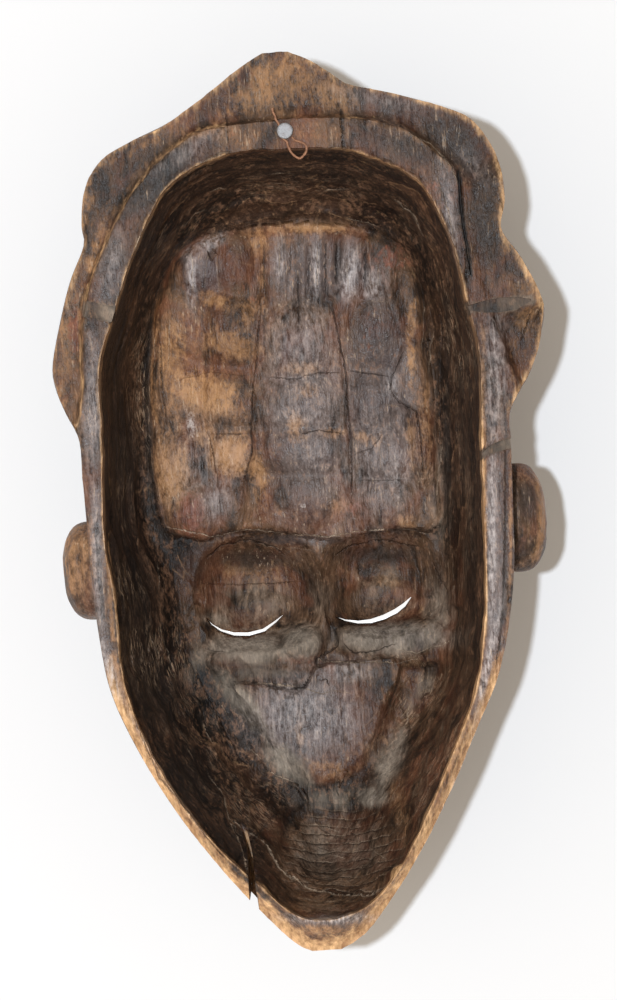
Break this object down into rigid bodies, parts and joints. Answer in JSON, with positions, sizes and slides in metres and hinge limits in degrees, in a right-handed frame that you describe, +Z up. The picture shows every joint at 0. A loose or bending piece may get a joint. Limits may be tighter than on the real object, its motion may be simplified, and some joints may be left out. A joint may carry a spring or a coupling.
{
  "type": "carved mask",
  "caption": "Carved wooden face mask in the Punu style, lying face down with its hollow up; a nail and a bent wire loop on the top rim hang it on a wall.",
  "frame": {"origin": "middle of the mask's outline, on the surface that it lies on", "axes": "+Z up out of the hollow, +Y to the top of the hair, +X to the right as one looks into the hollow"},
  "size_m": [0.1678, 0.3026, 0.1211],
  "materials": {
    "mask_wood": "old dark brown wood, hand polished on the rim and cut with a gouge inside",
    "nail_steel": "dull grey galvanised",
    "wire_rust": "rusty copper brown"
  },
  "bodies": {
    "root": {"mask_carving": "mask_wood", "hanging_nail": "nail_steel", "hanging_wire": "wire_rust"}
  },
  "joints": []
}
